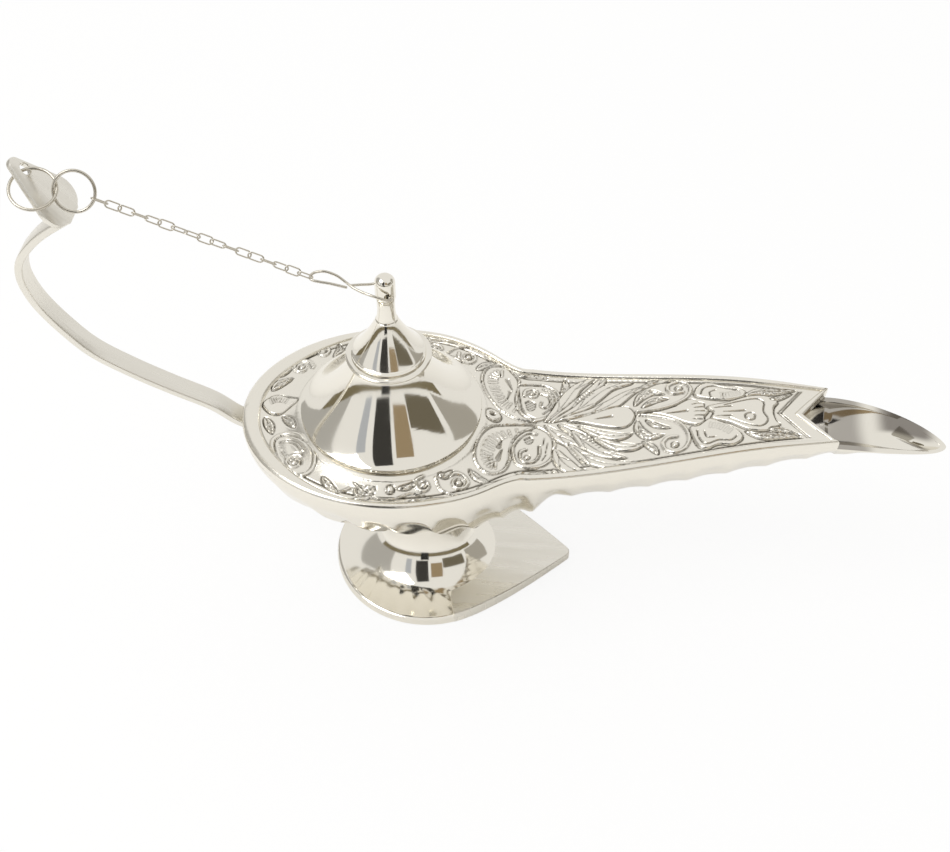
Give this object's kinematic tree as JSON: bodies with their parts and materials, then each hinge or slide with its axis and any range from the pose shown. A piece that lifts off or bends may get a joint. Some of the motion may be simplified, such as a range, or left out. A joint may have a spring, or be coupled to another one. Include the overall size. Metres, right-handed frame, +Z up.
{
  "type": "genie oil lamp",
  "caption": "Footed metal oil lamp with a long spout, a chased top plate, a strap handle with a thumb leaf, and a trumpet lid tied on by a ring chain and hook.",
  "frame": {"origin": "on the table, under the middle of the lamp's length, on its middle plane", "axes": "+X towards the spout, +Z up, so -X is the handle and the middle plane is XZ"},
  "size_m": [0.2668, 0.0744, 0.1534],
  "materials": {
    "polished_plate": "cast brass under a polished nickel-silver plate",
    "antiqued_plate": "chased relief, silver plated, with dark patina in the recesses",
    "brushed_plate": "strap brushed along its length",
    "plated_wire": "round plated wire",
    "steel_hardware": "plain steel"
  },
  "bodies": {
    "lamp": {"bowl": "polished_plate", "top_plate": "antiqued_plate", "foot": "polished_plate", "foot_stud": "steel_hardware", "foot_washer": "steel_hardware", "foot_nut": "steel_hardware", "handle_strap": "brushed_plate"},
    "chain": {"handle_ring": "plated_wire", "chain_ring": "plated_wire", "chain_link_01": "plated_wire", "chain_link_02": "plated_wire", "chain_link_03": "plated_wire", "chain_link_04": "plated_wire", "chain_link_05": "plated_wire", "chain_link_06": "plated_wire", "chain_link_07": "plated_wire", "chain_link_08": "plated_wire", "chain_link_09": "plated_wire", "chain_link_10": "plated_wire", "chain_link_11": "plated_wire", "chain_link_12": "plated_wire", "chain_link_13": "plated_wire", "chain_link_14": "plated_wire", "chain_link_15": "plated_wire", "chain_link_16": "plated_wire", "chain_link_17": "plated_wire", "lid_hook": "plated_wire"},
    "lid": {"lid_dome": "polished_plate", "lid_finial": "polished_plate", "lid_nut": "steel_hardware"}
  },
  "joints": [
    {"name": "chain_swing", "type": "hinge", "parent": "lamp", "child": "chain", "pos_m": [-0.12367, 0.001, 0.1494], "axis": [0, -1, 0], "range_deg": [0, 22]},
    {"name": "lid_hang", "type": "hinge", "parent": "chain", "child": "lid", "pos_m": [-0.03306, 0, 0.11515], "axis": [0, -1, 0], "range_deg": [-22, 0]}
  ],
  "couplings": [
    {"joint": "lid_hang", "follows": "chain_swing", "ratio": -1}
  ]
}
